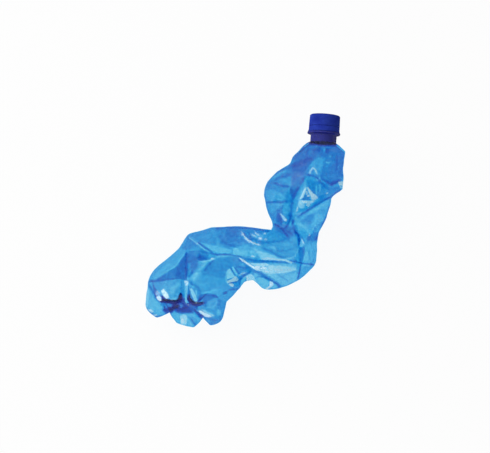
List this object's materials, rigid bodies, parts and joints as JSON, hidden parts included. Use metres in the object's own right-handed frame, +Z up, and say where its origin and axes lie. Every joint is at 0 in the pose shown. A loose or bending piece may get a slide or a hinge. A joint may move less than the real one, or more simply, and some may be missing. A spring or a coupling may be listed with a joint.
{
  "type": "crushed plastic bottle",
  "caption": "Crushed, bent blue drinks bottle lying on its side, with a footed base, a collapsed shoulder and a navy screw cap.",
  "frame": {"origin": "on the ground, under the middle of the bounding box", "axes": "+Z up from the ground the bottle lies on; +Y roughly along the neck towards the cap, +X towards the elbow side"},
  "size_m": [0.199, 0.2172, 0.0817],
  "materials": {
    "blue_pet": "clear blue-tinted blow-moulded PET, glossy, creased and scuffed",
    "navy_cap_plastic": "opaque navy moulded polyethylene, satin",
    "pale_liner_plastic": "soft pale sealing disc"
  },
  "bodies": {
    "bottle": {"bottle": "blue_pet", "tamper_band": "navy_cap_plastic"},
    "cap_carriage": {"seal_disc": "pale_liner_plastic"},
    "cap": {"cap": "navy_cap_plastic"}
  },
  "joints": [
    {"name": "cap_lift", "type": "slide", "parent": "bottle", "child": "cap_carriage", "axis": [0.0745, 0.9677, 0.241], "range_m": [0, 0.00405]},
    {"name": "cap_turn", "type": "hinge", "parent": "cap_carriage", "child": "cap", "pos_m": [0.07883, 0.07857, 0.04682], "axis": [0.0745, 0.9677, 0.241], "range_deg": [0, 540]}
  ],
  "couplings": [
    {"joint": "cap_lift", "follows": "cap_turn", "m_per_rad": 0.00042972}
  ]
}
